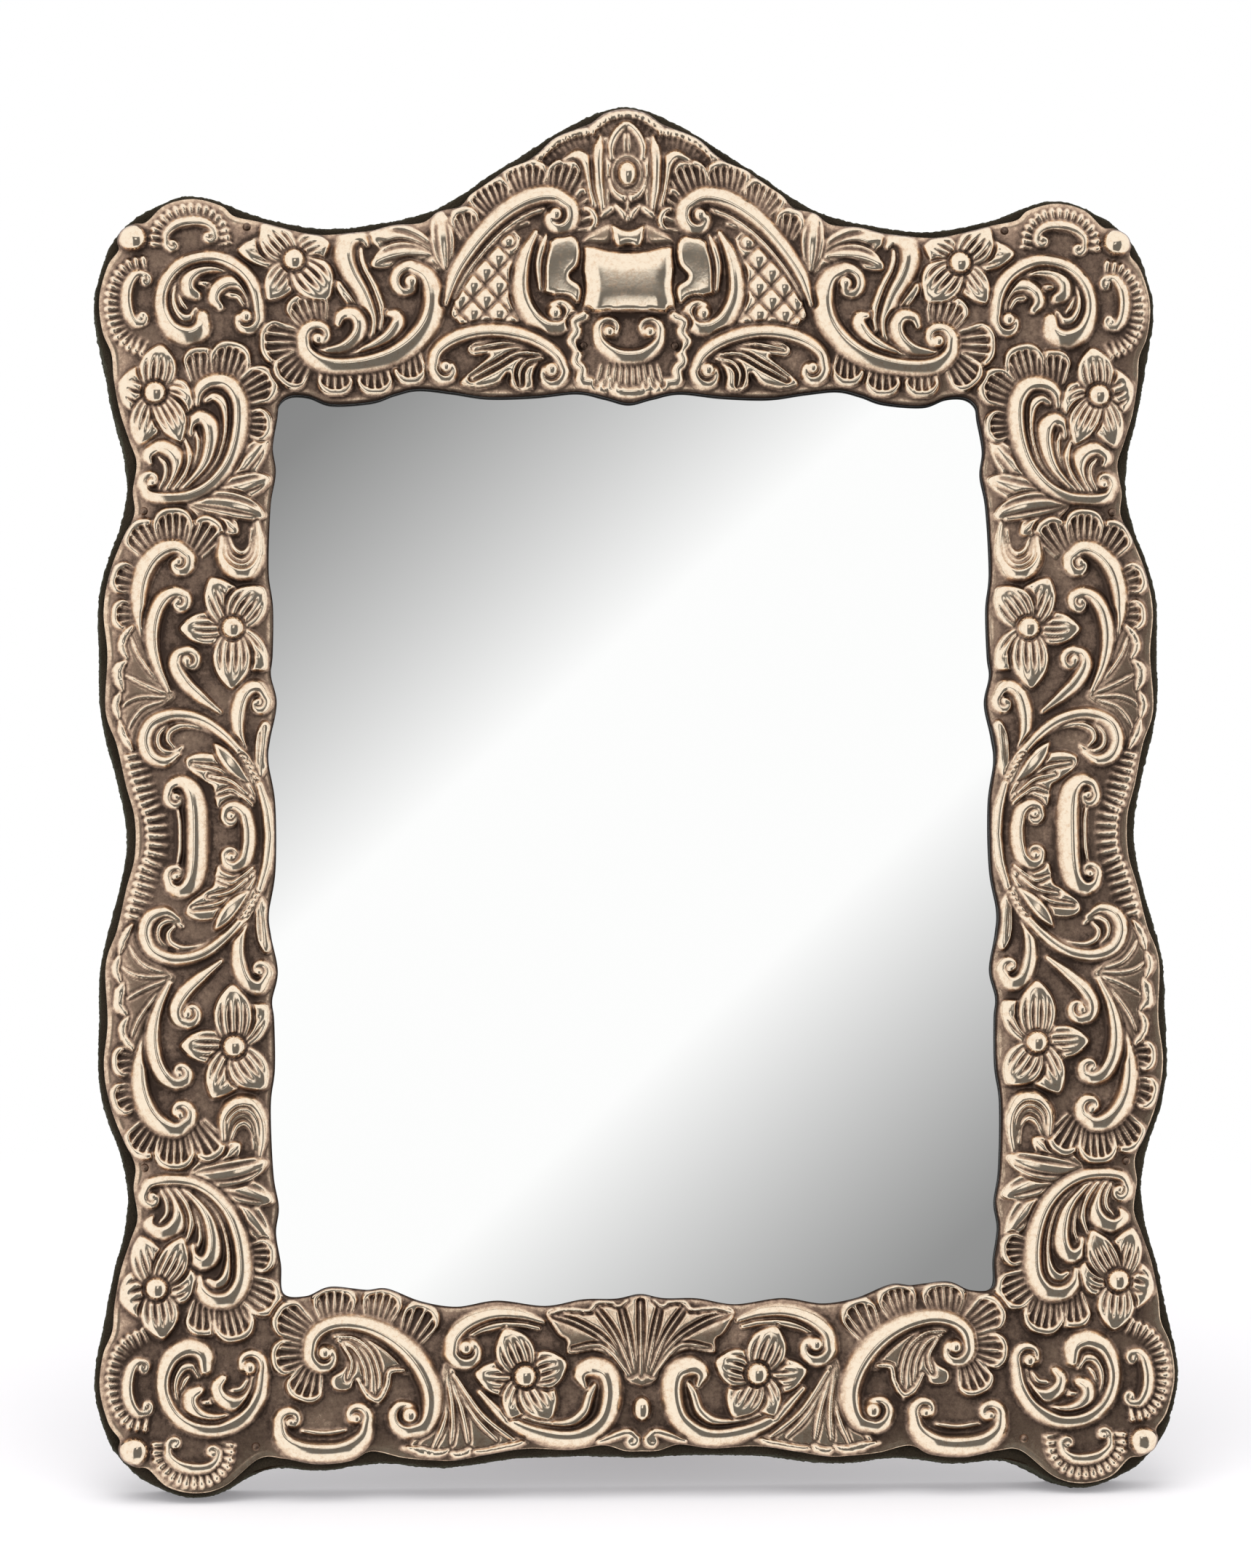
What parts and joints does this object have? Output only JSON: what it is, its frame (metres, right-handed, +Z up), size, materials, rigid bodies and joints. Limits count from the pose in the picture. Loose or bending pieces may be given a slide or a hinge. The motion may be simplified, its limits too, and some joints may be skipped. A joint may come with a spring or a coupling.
{
  "type": "easel-back dressing mirror",
  "caption": "Free-standing dressing-table mirror: pressed silver front with scrolls and flowers on a velvet-covered board, leaning back on a hinged easel strut.",
  "frame": {"origin": "bottom centre of the box, on the surface that the mirror stands on", "axes": "+Z up, the mirror faces -Y, +X to the right of someone who looks into it"},
  "size_m": [0.2278, 0.092, 0.2898],
  "materials": {
    "silver": "polished silver, warm, with dark brown patina in the recesses",
    "wood": "stained hardwood",
    "velvet": "very dark green short-pile velvet",
    "mirror": "plain silvered glass",
    "card": "brown packing card",
    "brass": "satin brass"
  },
  "bodies": {
    "frame": {"silver_mount": "silver", "mount_pin_01": "silver", "mount_pin_02": "silver", "mount_pin_03": "silver", "mount_pin_04": "silver", "mount_pin_05": "silver", "mount_pin_06": "silver", "mount_pin_07": "silver", "mount_pin_08": "silver", "mount_pin_09": "silver", "mount_pin_10": "silver", "frame_board": "wood", "velvet_cover": "velvet", "mirror_plate": "mirror", "packing_card": "card", "back_panel": "wood", "back_panel_velvet": "velvet", "hinge_fixed_leaf": "brass", "hinge_pin": "brass", "panel_screw_1": "brass", "panel_screw_2": "brass", "button_screw_1": "brass", "button_screw_2": "brass", "button_screw_3": "brass", "button_screw_4": "brass"},
    "strut": {"strut_board": "wood", "strut_velvet": "velvet", "hinge_moving_leaf": "brass", "strut_screw_1": "brass", "strut_screw_2": "brass"},
    "upper_left_button": {"turn_button_1": "brass"},
    "upper_right_button": {"turn_button_2": "brass"},
    "lower_left_button": {"turn_button_3": "brass"},
    "lower_right_button": {"turn_button_4": "brass"}
  },
  "joints": [
    {"name": "strut_hinge", "type": "hinge", "parent": "frame", "child": "strut", "pos_m": [0, 0.00908, 0.16976], "axis": [1, 0, 0], "range_deg": [-24, 0]},
    {"name": "upper_left_button_pivot", "type": "hinge", "parent": "frame", "child": "upper_left_button", "pos_m": [-0.09225, -0.00114, 0.18547], "axis": [0, 0.9744, -0.225], "range_deg": [-90, 90]},
    {"name": "upper_right_button_pivot", "type": "hinge", "parent": "frame", "child": "upper_right_button", "pos_m": [0.09225, -0.00114, 0.18547], "axis": [0, 0.9744, -0.225], "range_deg": [-90, 90]},
    {"name": "lower_left_button_pivot", "type": "hinge", "parent": "frame", "child": "lower_left_button", "pos_m": [-0.09225, -0.02454, 0.08414], "axis": [0, 0.9744, -0.225], "range_deg": [-90, 90]},
    {"name": "lower_right_button_pivot", "type": "hinge", "parent": "frame", "child": "lower_right_button", "pos_m": [0.09225, -0.02454, 0.08414], "axis": [0, 0.9744, -0.225], "range_deg": [-90, 90]}
  ]
}
